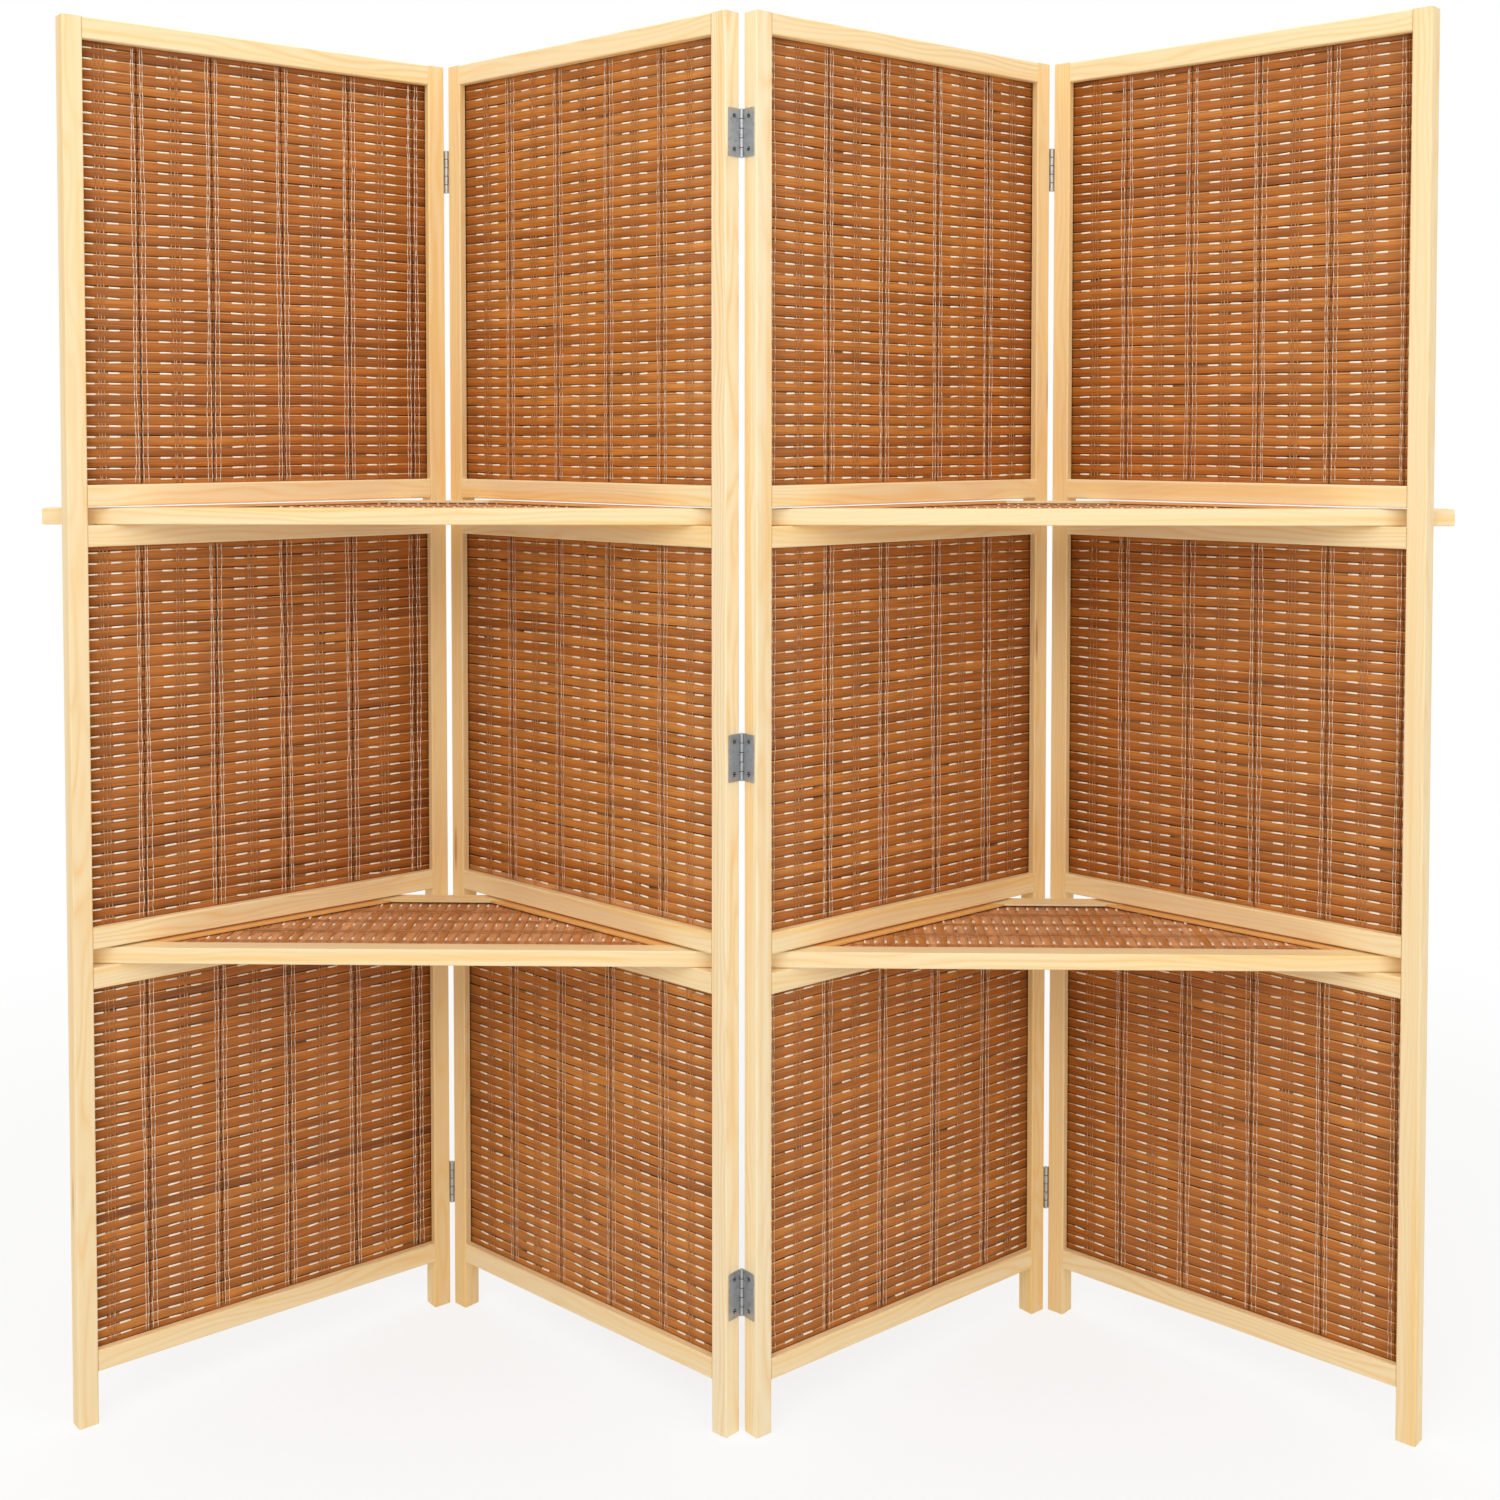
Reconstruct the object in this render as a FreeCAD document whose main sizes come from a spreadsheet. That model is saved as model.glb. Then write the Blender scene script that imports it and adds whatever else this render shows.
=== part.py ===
import FreeCAD, Part
import math
import os
import re

# A four-panel folding screen: pine frames filled with woven bamboo mats, joined edge to edge by butt
# hinges, with four loose shelves whose edges lie in open slots across the panels.
# Frame of the whole: X to the right, Y to the back, Z up, origin under the middle of the screen.
# Frame of a panel: X along it from its left end, Y from its front face to its back, Z up.

SIZES = [
    ("screen_height", 1702, "posts, floor to top"),
    ("panel_width", 508, "one panel, end to end"),
    ("post_width", 24, "post, along the panel"),
    ("frame_depth", 24, "posts and rails, front to back"),
    ("rail_height", 26, "every rail of a panel"),
    ("edge_round", 2, "rounding of the long edges of posts, rails and shelves"),
    ("leg_length", 64, "floor to the underside of the bottom rail"),
    ("lower_shelf_level", 560, "rail that the lower shelf lies on"),
    ("upper_shelf_level", 1096, "rail that the upper shelf lies on"),
    ("slot_height", 22.5, "open slot above that rail"),
    ("fold_angle", 40, "degrees that each panel is turned from the line of the screen"),
    ("mat_thickness", 4.4, "bamboo mat over its slats"),
    ("seam_thickness", 2, "bamboo mat between two slats"),
    ("seam_width", 1.6, "gap between two slats"),
    ("slat_pitch", 13, "one slat and one seam"),
    ("groove_depth", 6, "how far a mat reaches into the frame"),
    ("groove_clearance", 0.2, "mat to its groove, all round"),
    ("dowel_diameter", 8, "wooden dowel between rail and post"),
    ("dowel_length", 30, "half in the rail, half in the post"),
    ("dowel_clearance", 0.1, "dowel to its hole, all round"),
    ("hinge_gap", 4.4, "between the end faces of two panels laid flat"),
    ("hinge_proud", 1.6, "hinge axis outside the face that it folds towards"),
    ("hinge_height", 57, "butt hinge"),
    ("hinge_top_level", 1561, "middle of the top hinges"),
    ("hinge_middle_level", 820, "middle of the third hinge at the centre"),
    ("hinge_bottom_level", 170, "middle of the bottom hinges"),
    ("leaf_width", 20, "leaf, across the end face"),
    ("leaf_thickness", 1.2, "steel sheet of the leaf"),
    ("leaf_corner", 1.5, "rounded corners of the leaf"),
    ("knuckle_diameter", 4.8, "rolled barrel"),
    ("knuckle_gap", 0.3, "between neighbouring knuckles, and round them"),
    ("pin_diameter", 2.4, "hinge pin"),
    ("pin_clearance", 0.05, "pin to barrel, radial"),
    ("pin_overhang", 0.6, "pin beyond the barrel at each end"),
    ("screw_diameter", 3, "shank of the countersunk screw"),
    ("screw_head", 5.6, "head of the countersunk screw"),
    ("screw_length", 14, "shank below the leaf"),
    ("screw_spread", 39, "between the two screws of a leaf"),
    ("screw_clearance", 0.05, "screw to its holes, radial"),
    ("shelf_thickness", 20, "shelf frame"),
    ("shelf_lift", 0.3, "shelf above the rail that it lies on"),
    ("front_rail_width", 25, "front rail of a shelf"),
    ("side_rail_width", 25, "side rails of a shelf"),
    ("back_rail_width", 30, "back rail of a shelf"),
    ("slot_seat", 15, "how far the side rails reach into the slots"),
    ("post_clearance", 0.4, "front rail of a shelf behind the posts that it bears on"),
    ("fold_clearance", 0.6, "back of a shelf to the valley posts as they swing past it"),
    ("rail_end_inset", 0.5, "inner end of the front rail inside the panel's back face"),
    ("upper_ear_reach", 30, "front rail of an upper shelf beyond the outer post"),
    ("lower_ear_reach", 3, "front rail of a lower shelf beyond the outer post"),
    ("shelf_mat_drop", 2.5, "shelf mat below the top of its frame"),
    ("tenon_length", 12, "side rail's tenons in the front and back rails"),
    ("tenon_thickness", 8, "tenon, top to bottom"),
    ("tenon_shoulder", 5, "tenon in from each side of its rail, and up from its underside"),
    ("tenon_clearance", 0.1, "tenon to its mortise, all round"),
]

KNUCKLES = 5

# The rails of a panel, by the height of their undersides.
OUTER_RAILS = {
    "bottom_rail": "leg_length",
    "top_rail": "screen_height - rail_height",
}
SLOT_RAILS = {
    "under_lower_slot": "lower_shelf_level - rail_height",
    "over_lower_slot": "lower_shelf_level + slot_height",
    "under_upper_slot": "upper_shelf_level - rail_height",
    "over_upper_slot": "upper_shelf_level + slot_height",
}
# The three openings of a panel, each from the top of one rail to the underside of the next.
OPENINGS = {
    "lower": ("leg_length + rail_height", "lower_shelf_level - rail_height"),
    "middle": ("lower_shelf_level + slot_height + rail_height", "upper_shelf_level - rail_height"),
    "upper": ("upper_shelf_level + slot_height + rail_height", "screen_height - rail_height"),
}
# The hinge line at each end of each panel. The outer lines fold to the front, the middle one to the back.
PANEL_ENDS = {
    1: {"right": "left_line"},
    2: {"left": "left_line", "right": "middle_line"},
    3: {"left": "middle_line", "right": "right_line"},
    4: {"left": "right_line"},
}
HINGE_LEVELS = {
    "left_line": ("hinge_bottom_level", "hinge_top_level"),
    "middle_line": ("hinge_bottom_level", "hinge_middle_level", "hinge_top_level"),
    "right_line": ("hinge_bottom_level", "hinge_top_level"),
}
FOLDS_TO = {"left_line": "front", "middle_line": "back", "right_line": "front"}

UP = FreeCAD.Vector(0, 0, 1)
UPRIGHT = FreeCAD.Rotation()
TO_THE_RIGHT = FreeCAD.Rotation(FreeCAD.Vector(0, 1, 0), 90)
TO_THE_LEFT = FreeCAD.Rotation(FreeCAD.Vector(0, 1, 0), -90)

doc = FreeCAD.newDocument("folding_screen")
sheet = doc.addObject("Spreadsheet::Sheet", "Sizes")
for row, (alias, value, note) in enumerate(SIZES, start=1):
    sheet.set(f"A{row}", alias)
    sheet.set(f"B{row}", str(value))
    sheet.setAlias(f"B{row}", alias)
    sheet.set(f"C{row}", note)
doc.recompute()

nodes = []


def size(expression):
    """The number that an expression on the sheet's names comes to."""
    total = 0.0
    for sign, word in re.findall(r"([+-]?)\s*([a-z_]+)", expression):
        total += -sheet.get(word) if sign == "-" else sheet.get(word)
    return total


def bind(made, prop, expression):
    """Ties a property to an expression on the sheet's names."""
    made.setExpression(prop, re.sub(r"[a-z_]+", r"Sizes.\g<0>", expression))


def put(made, place, turn=UPRIGHT):
    """Turns a primitive and ties its corner or centre to three expressions."""
    made.Placement = FreeCAD.Placement(FreeCAD.Vector(), turn)
    for axis, expression in zip("xyz", place):
        bind(made, f"Placement.Base.{axis}", expression)


def block(name, lengths, place):
    """A box with its lowest corner at a place."""
    made = doc.addObject("Part::Box", name)
    for prop, expression in zip(("Length", "Width", "Height"), lengths):
        bind(made, prop, expression)
    put(made, place)
    return made


def rod(name, radius, length, place, turn=UPRIGHT):
    """A cylinder that starts at a place and runs up, right or left."""
    made = doc.addObject("Part::Cylinder", name)
    bind(made, "Radius", radius)
    bind(made, "Height", length)
    put(made, place, turn)
    return made


def cone(name, radii, length, place, turn):
    """A cone that starts at a place with its first radius."""
    made = doc.addObject("Part::Cone", name)
    bind(made, "Radius1", radii[0])
    bind(made, "Radius2", radii[1])
    bind(made, "Height", length)
    put(made, place, turn)
    return made


def rounded(base, axis, radius):
    """A box with the four edges along one axis rounded."""
    base.recompute()
    made = doc.addObject("Part::Fillet", base.Name + "_rounded")
    made.Base = base
    edges = []
    for number, edge in enumerate(base.Shape.Edges, start=1):
        run = edge.Vertexes[1].Point - edge.Vertexes[0].Point
        if abs(run[axis]) > edge.Length / 2:
            edges.append((number, radius, radius))
    made.Edges = edges
    return made


def group(name, pieces):
    """Separate solids kept together."""
    made = doc.addObject("Part::Compound", name)
    made.Links = pieces
    return made


def fused(name, pieces):
    made = doc.addObject("Part::MultiFuse", name)
    made.Shapes = pieces
    return made


def cut(name, base, tool):
    made = doc.addObject("Part::Cut", name)
    made.Base = base
    made.Tool = tool
    return made


def solid(name, shape):
    """A piece whose outline is worked out from several sizes together."""
    made = doc.addObject("Part::Feature", name)
    made.Shape = shape
    return made


def finish(made, label, place=FreeCAD.Placement()):
    """Names a finished piece and puts it where it belongs on the screen."""
    made.Label = label
    made.Placement = place
    nodes.append(made)


def prism(outline, low, high):
    """A plan outline carried up from one height to another."""
    points = [FreeCAD.Vector(x, y, low) for x, y in outline]
    face = Part.Face(Part.makePolygon(points + points[:1]))
    return face.extrude(UP * (high - low))


def slat_profile(length):
    """Outline of a mat across its slats: thick at each slat, thin at each seam, starting at 0."""
    count = max(1, round(length / sheet.slat_pitch))
    pitch = length / count
    thick = sheet.mat_thickness / 2
    thin = sheet.seam_thickness / 2
    seam = sheet.seam_width / 2
    side = [(0.0, thick)]
    for number in range(1, count):
        side.append((number * pitch - seam, thick))
        side.append((number * pitch - seam, thin))
        side.append((number * pitch + seam, thin))
        side.append((number * pitch + seam, thick))
    side.append((length, thick))
    return side + [(along, -across) for along, across in reversed(side)]


# The plan of the folded screen.

turn = math.radians(sheet.fold_angle)
half_gap = sheet.hinge_gap / 2
front_face = sheet.hinge_proud + sheet.frame_depth


def plan(along, across):
    """A point of the second panel, from the middle hinge axis: along it, and across to the front."""
    x = -along * math.cos(turn) - across * math.sin(turn)
    y = along * math.sin(turn) - across * math.cos(turn)
    return x, y


nearest_y = plan(half_gap, front_face)[1]
furthest_y = plan(half_gap + sheet.panel_width, sheet.hinge_proud)[1]
middle_y = (nearest_y + furthest_y) / 2
valley_x, valley_y = plan(sheet.hinge_gap + sheet.panel_width, front_face + sheet.hinge_proud)


def across_valley(x):
    """The first panel mirrors the second about the left hinge line."""
    return 2 * valley_x - x


def panel_placement(number):
    """Where a panel's left front corner stands, and how it is turned."""
    ridge_x, ridge_y = plan(half_gap, front_face)
    inner_x, inner_y = plan(half_gap + sheet.panel_width, front_face)
    corner_x, corner_y, sign = {
        1: (across_valley(ridge_x), ridge_y, 1),
        2: (inner_x, inner_y, -1),
        3: (-ridge_x, ridge_y, 1),
        4: (-across_valley(inner_x), inner_y, -1),
    }[number]
    where = FreeCAD.Vector(corner_x, corner_y - middle_y, 0)
    return FreeCAD.Placement(where, FreeCAD.Rotation(UP, sign * sheet.fold_angle))


# Panels: two posts, six rails dowelled between them, and three mats held in grooves.

def post_inner_face(end):
    return "post_width" if end == "left" else "panel_width - post_width"


def end_face(end):
    """Where the end face of a panel is, and the turns that point out of it and into it."""
    if end == "left":
        return "0", TO_THE_LEFT, TO_THE_RIGHT
    return "panel_width", TO_THE_RIGHT, TO_THE_LEFT


def make_dowels(tag, rails):
    """A dowel through each joint of rail and post, and the hole that it is glued into."""
    dowels = []
    holes = []
    for rail, underside in rails.items():
        for end in ("left", "right"):
            middle = ("frame_depth / 2", f"{underside} + rail_height / 2")
            name = f"{rail}_{end}_{tag}"
            dowels.append(rod(f"dowel_{name}", "dowel_diameter / 2", "dowel_length",
                              (f"{post_inner_face(end)} - dowel_length / 2", *middle), TO_THE_RIGHT))
            holes.append(rod(f"dowel_hole_{name}", "dowel_diameter / 2 + dowel_clearance",
                             "dowel_length + dowel_clearance * 2",
                             (f"{post_inner_face(end)} - dowel_length / 2 - dowel_clearance", *middle),
                             TO_THE_RIGHT))
    return dowels, holes


def make_mat_pocket(tag, part, opening):
    """The space that a mat fills, grooves and clearance included."""
    low, high = opening
    reach = "groove_depth + groove_clearance"
    return block(f"{part}_pocket_{tag}",
                 (f"panel_width - post_width * 2 + ({reach}) * 2",
                  "mat_thickness + groove_clearance * 2",
                  f"({high}) - ({low}) + ({reach}) * 2"),
                 (f"post_width - ({reach})",
                  "(frame_depth - mat_thickness) / 2 - groove_clearance",
                  f"{low} - ({reach})"))


def make_mat(tag, part, opening):
    """A woven mat: level slats side by side, held by its edges in the grooves."""
    low, high = (size(level) for level in opening)
    groove = sheet.groove_depth
    height = high - low + 2 * groove
    width = sheet.panel_width - 2 * sheet.post_width + 2 * groove
    start = FreeCAD.Vector(sheet.post_width - groove, sheet.frame_depth / 2, low - groove)
    points = [start + FreeCAD.Vector(0, across, along) for along, across in slat_profile(height)]
    shape = Part.Face(Part.makePolygon(points + points[:1])).extrude(FreeCAD.Vector(width, 0, 0))
    return solid(f"{part}_mat_solid_{tag}", shape)


def leaf_across(line):
    """Where a leaf starts across the end face, where its screws are, and where the hinge axis is."""
    if FOLDS_TO[line] == "front":
        return "-hinge_proud", "leaf_width / 2", "-hinge_proud"
    return "frame_depth - leaf_width", "frame_depth - leaf_width / 2", "frame_depth + hinge_proud"


def make_leaf(name, end, line, level):
    """A hinge leaf: sheet steel on the end face, rolled into every other knuckle round the pin."""
    face, outwards, _ = end_face(end)
    start, screw_across, axis_across = leaf_across(line)
    plate_x = face if end == "right" else f"{face} - leaf_thickness"
    axis_x = f"{face} + hinge_gap / 2" if end == "right" else f"{face} - hinge_gap / 2"
    bottom = f"{level} - hinge_height / 2"
    plate = block(f"{name}_plate", ("leaf_thickness", "leaf_width + hinge_proud", "hinge_height"),
                  (plate_x, start, bottom))
    barrel = []
    notches = []
    for number in range(KNUCKLES):
        foot = f"{bottom} + hinge_height / {KNUCKLES} * {number}"
        own = (number % 2 == 0) == (end == "right")
        if own:
            barrel.append(rod(f"{name}_knuckle_{number}", "knuckle_diameter / 2",
                              f"hinge_height / {KNUCKLES} - knuckle_gap",
                              (axis_x, axis_across, f"{foot} + knuckle_gap / 2")))
        else:
            notches.append(rod(f"{name}_notch_{number}", "knuckle_diameter / 2 + knuckle_gap",
                               f"hinge_height / {KNUCKLES}", (axis_x, axis_across, foot)))
    bore = rod(f"{name}_bore", "pin_diameter / 2 + pin_clearance", "hinge_height",
               (axis_x, axis_across, bottom))
    holes = []
    for sign in "+-":
        place = (face, screw_across, f"{level} {sign} screw_spread / 2")
        holes.append(cone(f"{name}_hole_{len(holes)}",
                          ("screw_diameter / 2 + screw_clearance", "screw_head / 2 + screw_clearance"),
                          "leaf_thickness", place, outwards))
    body = fused(f"{name}_body", [rounded(plate, 0, sheet.leaf_corner), *barrel])
    tools = group(f"{name}_tools", [fused(f"{name}_barrel_cuts", [bore, *notches]), *holes])
    return cut(name, body, tools)


def make_leaf_screws(name, end, line, level):
    """The two countersunk screws of a leaf, and the holes that they have cut in the post."""
    face, outwards, inwards = end_face(end)
    _, screw_across, _ = leaf_across(line)
    screws = []
    holes = []
    for sign in "+-":
        place = (face, screw_across, f"{level} {sign} screw_spread / 2")
        tag = f"{name}_{len(screws)}"
        head = cone(f"{tag}_head", ("screw_diameter / 2", "screw_head / 2"), "leaf_thickness",
                    place, outwards)
        shank = rod(f"{tag}_shank", "screw_diameter / 2", "screw_length", place, inwards)
        screws.append(fused(tag, [head, shank]))
        holes.append(rod(f"{tag}_hole", "screw_diameter / 2 + screw_clearance",
                         "screw_length + screw_clearance", place, inwards))
    return screws, holes


def make_panel(number):
    tag = str(number)
    place = panel_placement(number)
    rails = {**OUTER_RAILS, **SLOT_RAILS}
    dowels, holes = make_dowels(tag, rails)
    pockets = [make_mat_pocket(tag, part, opening) for part, opening in OPENINGS.items()]
    leaves = []
    screws = []
    for end, line in PANEL_ENDS[number].items():
        for level in HINGE_LEVELS[line]:
            name = f"{end}_{level}_{tag}"
            leaves.append(make_leaf(f"leaf_{name}", end, line, level))
            pair, pair_holes = make_leaf_screws(f"screw_{name}", end, line, level)
            screws.extend(pair)
            holes.extend(pair_holes)
    joinery = group(f"joinery_{tag}", pockets + holes)

    for end, corner in (("left", "0"), ("right", "panel_width - post_width")):
        stick = block(f"{end}_stick_{tag}", ("post_width", "frame_depth", "screen_height"),
                      (corner, "0", "0"))
        post = cut(f"{end}_post_cut_{tag}", rounded(stick, 2, sheet.edge_round), joinery)
        finish(post, f"{end}_post_{tag}", place)

    bars = {}
    for rail, underside in rails.items():
        stick = block(f"{rail}_stick_{tag}", ("panel_width - post_width * 2", "frame_depth", "rail_height"),
                      ("post_width", "0", underside))
        bars[rail] = cut(f"{rail}_cut_{tag}", rounded(stick, 0, sheet.edge_round), joinery)
    for rail in OUTER_RAILS:
        finish(bars[rail], f"{rail}_{tag}", place)
    finish(group(f"slot_rails_group_{tag}", [bars[rail] for rail in SLOT_RAILS]), f"slot_rails_{tag}", place)

    for part, opening in OPENINGS.items():
        finish(make_mat(tag, part, opening), f"{part}_mat_{tag}", place)
    finish(group(f"dowels_group_{tag}", dowels), f"dowels_{tag}", place)
    finish(group(f"leaves_group_{tag}", leaves), f"hinge_leaves_{tag}", place)
    finish(group(f"screws_group_{tag}", screws), f"hinge_screws_{tag}", place)


for number in PANEL_ENDS:
    make_panel(number)


# Hinge pins: one through the knuckles of each hinge, in the frame of the panel on its left.

def make_pins(number, line):
    _, _, axis_across = leaf_across(line)
    pins = []
    for level in HINGE_LEVELS[line]:
        pins.append(rod(f"pin_{line}_{level}", "pin_diameter / 2", "hinge_height + pin_overhang * 2",
                        ("panel_width + hinge_gap / 2", axis_across,
                         f"{level} - hinge_height / 2 - pin_overhang")))
    finish(group(f"{line}_pins_group", pins), f"{line}_pins", panel_placement(number))


for number, ends in PANEL_ENDS.items():
    if "right" in ends:
        make_pins(number, ends["right"])


# Shelves: a frame of three plain rails and a long front rail round a mat. The side rails lie in the
# slots of two panels, and the front rail bears on the backs of the posts, so the screen can't spread.

shelf_front_y = plan(half_gap + sheet.post_width, sheet.hinge_proud)[1] + sheet.post_clearance
valley_swing = math.hypot(half_gap + sheet.post_width, front_face)
shelf_back_y = valley_y - valley_swing - sheet.fold_clearance
front_rail_back_y = shelf_front_y + sheet.front_rail_width
back_rail_front_y = shelf_back_y - sheet.back_rail_width
side_outer = front_face - sheet.slot_seat
side_inner = side_outer + sheet.side_rail_width
outer_post_x = across_valley(plan(half_gap, sheet.hinge_proud)[0])


def x_at(across, y):
    """Where a line along the second panel, so far across to the front of its hinge axis, passes y."""
    along = (y + across * math.cos(turn)) / math.sin(turn)
    return plan(along, across)[0]


def trapezium(across, near_y, far_y):
    """The outline between two like lines along the first and second panels."""
    near_x = x_at(across, near_y)
    far_x = x_at(across, far_y)
    return [(across_valley(near_x), near_y), (near_x, near_y), (far_x, far_y), (across_valley(far_x), far_y)]


def side_strip(outer, inner, near_y, far_y):
    """The outline between two lines along the second panel."""
    return [(x_at(inner, near_y), near_y), (x_at(outer, near_y), near_y),
            (x_at(outer, far_y), far_y), (x_at(inner, far_y), far_y)]


def both_sides(outline):
    """A side rail's outline on the second panel, and its mirror on the first."""
    return [outline, [(across_valley(x), y) for x, y in outline]]


def on_side(outline, side):
    """An outline of the left shelf, in the frame of the whole, on the left or mirrored to the right."""
    sign = 1 if side == "left" else -1
    return [(sign * x, y - middle_y) for x, y in outline]


def rounded_front_rail(shape, end_x):
    """Rounds the front edges of a front rail and the edges of its showing end."""
    edges = []
    for edge in shape.Edges:
        middle = edge.CenterOfMass
        along_front = abs(middle.y - shape.BoundBox.YMin) < 1e-6 and edge.Length > sheet.shelf_thickness * 2
        round_end = abs(middle.x - end_x) < 1e-6 and abs(edge.Length - sheet.front_rail_width) < 1e-6
        if along_front or round_end:
            edges.append(edge)
    return shape.makeFillet(sheet.edge_round, edges)


def make_shelf(side, part, level, ear_reach):
    low = level + sheet.shelf_lift
    high = low + sheet.shelf_thickness
    mat_high = high - sheet.shelf_mat_drop
    mat_low = mat_high - sheet.mat_thickness
    groove = sheet.groove_depth
    play = sheet.groove_clearance
    name = f"{part}_{side}_shelf"

    pocket_outline = trapezium(side_inner - groove - play, front_rail_back_y - groove - play,
                               back_rail_front_y + groove + play)
    pocket = prism(on_side(pocket_outline, side), mat_low - play, mat_high + play)

    tenon_low = low + sheet.tenon_shoulder
    tenon_high = tenon_low + sheet.tenon_thickness
    ease = sheet.tenon_clearance
    tenon_outline = side_strip(side_outer + sheet.tenon_shoulder, side_inner - sheet.tenon_shoulder,
                               front_rail_back_y - sheet.tenon_length, back_rail_front_y + sheet.tenon_length)
    mortise_outline = side_strip(side_outer + sheet.tenon_shoulder - ease,
                                 side_inner - sheet.tenon_shoulder + ease,
                                 front_rail_back_y - sheet.tenon_length - ease,
                                 back_rail_front_y + sheet.tenon_length + ease)
    mortises = [prism(on_side(outline, side), tenon_low - ease, tenon_high + ease)
                for outline in both_sides(mortise_outline)]

    inner_line = sheet.hinge_proud + sheet.rail_end_inset
    ear_x = outer_post_x - ear_reach
    front_outline = [(ear_x, shelf_front_y), (x_at(inner_line, shelf_front_y), shelf_front_y),
                     (x_at(inner_line, front_rail_back_y), front_rail_back_y), (ear_x, front_rail_back_y)]
    front_rail = prism(on_side(front_outline, side), low, high)
    front_rail = rounded_front_rail(front_rail, on_side([(ear_x, 0)], side)[0][0])
    finish(solid(f"{name}_front_solid", front_rail.cut([pocket, *mortises])), f"{name}_front_rail")

    side_outline = side_strip(side_outer, side_inner, front_rail_back_y, back_rail_front_y)
    rails = []
    for stick, tenon in zip(both_sides(side_outline), both_sides(tenon_outline)):
        rail = prism(on_side(stick, side), low, high).fuse(prism(on_side(tenon, side), tenon_low, tenon_high))
        rails.append(solid(f"{name}_side_{len(rails)}", rail.cut(pocket).removeSplitter()))
    back_rail = prism(on_side(trapezium(side_outer, back_rail_front_y, shelf_back_y), side), low, high)
    rails.append(solid(f"{name}_back", back_rail.cut([pocket, *mortises])))
    finish(group(f"{name}_rails", rails), f"{name}_frame")

    mat_outline = trapezium(side_inner - groove, front_rail_back_y - groove, back_rail_front_y + groove)
    outline = prism(on_side(mat_outline, side), mat_low, mat_high)
    box = outline.BoundBox
    points = [FreeCAD.Vector(box.XMin + along, box.YMin, (mat_low + mat_high) / 2 + across)
              for along, across in slat_profile(box.XLength)]
    slats = Part.Face(Part.makePolygon(points + points[:1])).extrude(FreeCAD.Vector(0, box.YLength, 0))
    finish(solid(f"{name}_slats", slats.common(outline)), f"{name}_mat")


for side in ("left", "right"):
    make_shelf(side, "lower", sheet.lower_shelf_level, sheet.lower_ear_reach)
    make_shelf(side, "upper", sheet.upper_shelf_level, sheet.upper_ear_reach)

doc.recompute()

for made in doc.Objects:
    if "Invalid" in made.State or "Error" in made.State:
        raise RuntimeError(f"{made.Name} failed: {made.State}")
for node in nodes:
    if node.Shape.isNull() or not node.Shape.isValid():
        raise RuntimeError(f"{node.Label} has no valid shape")

os.makedirs("parts", exist_ok=True)
for node in nodes:
    node.Shape.exportStep(f"parts/{node.Label}.step")

whole = Part.makeCompound([node.Shape for node in nodes]).BoundBox
print(f"{len(nodes)} pieces, {whole.XLength:.1f} x {whole.YLength:.1f} x {whole.ZLength:.1f} mm")
print(f"box from {whole.XMin:.2f}, {whole.YMin:.2f}, {whole.ZMin:.2f}")
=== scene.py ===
import bpy
import collections
import math
import numpy as np
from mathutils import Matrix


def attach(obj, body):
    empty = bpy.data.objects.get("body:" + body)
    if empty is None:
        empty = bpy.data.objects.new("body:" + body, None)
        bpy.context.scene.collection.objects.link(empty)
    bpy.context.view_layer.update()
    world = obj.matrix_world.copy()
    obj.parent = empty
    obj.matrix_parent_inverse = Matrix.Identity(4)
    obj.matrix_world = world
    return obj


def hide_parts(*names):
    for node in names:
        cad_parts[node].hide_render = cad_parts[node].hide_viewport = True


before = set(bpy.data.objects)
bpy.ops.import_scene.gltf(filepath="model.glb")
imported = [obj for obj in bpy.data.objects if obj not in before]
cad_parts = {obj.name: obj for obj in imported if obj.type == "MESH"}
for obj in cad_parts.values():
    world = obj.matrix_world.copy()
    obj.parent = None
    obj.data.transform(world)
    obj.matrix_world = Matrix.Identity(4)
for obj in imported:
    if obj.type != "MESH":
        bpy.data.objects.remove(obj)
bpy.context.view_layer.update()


# Posts and rails of the four panels, straight pine sticks, planed and lacquered clear, glued on dowels.
# Their grain runs along each stick, so posts and the rails of either slant have a finish of their own.

FOLD_ANGLE = math.radians(40)
PINE_PALE = (0.93, 0.75, 0.46, 1)
PINE_RIDGE_LIGHT = (0.94, 0.81, 0.56, 1)
PINE_VALLEY_SHADE = (0.90, 0.67, 0.36, 1)
PINE_LATE = (0.87, 0.53, 0.17, 1)
PINE_WARM = (0.93, 0.61, 0.22, 1)
PINE_KNOT = (0.50, 0.24, 0.08, 1)
RING_SPACING = 0.0054
RING_SLOPE = (0.75, 0.66)
RING_DRIFT = 6.5
RING_SHARPNESS = 2.0
DRIFT_SCALE = (4.2, 26, 26)
STRONG_SCALE, STRONG_RANGE = (1.1, 35, 35), (0.30, 0.70)
LATE_LEAST, LATE_MORE = 0.16, 0.50
FIBRE_SCALE, FIBRE_RANGE, FIBRE_SHARE = (7, 560, 560), (0.50, 0.80), 0.35
WARM_SCALE, WARM_RANGE, WARM_SHARE = (1.3, 75, 75), (0.48, 0.70), 0.60
KNOT_SCALE, KNOT_RANGE, KNOT_SHARE = (3.1, 30, 30), (0.03, 0.13), 0.8
CELLS_WITHOUT_KNOT = 0.86


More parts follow.
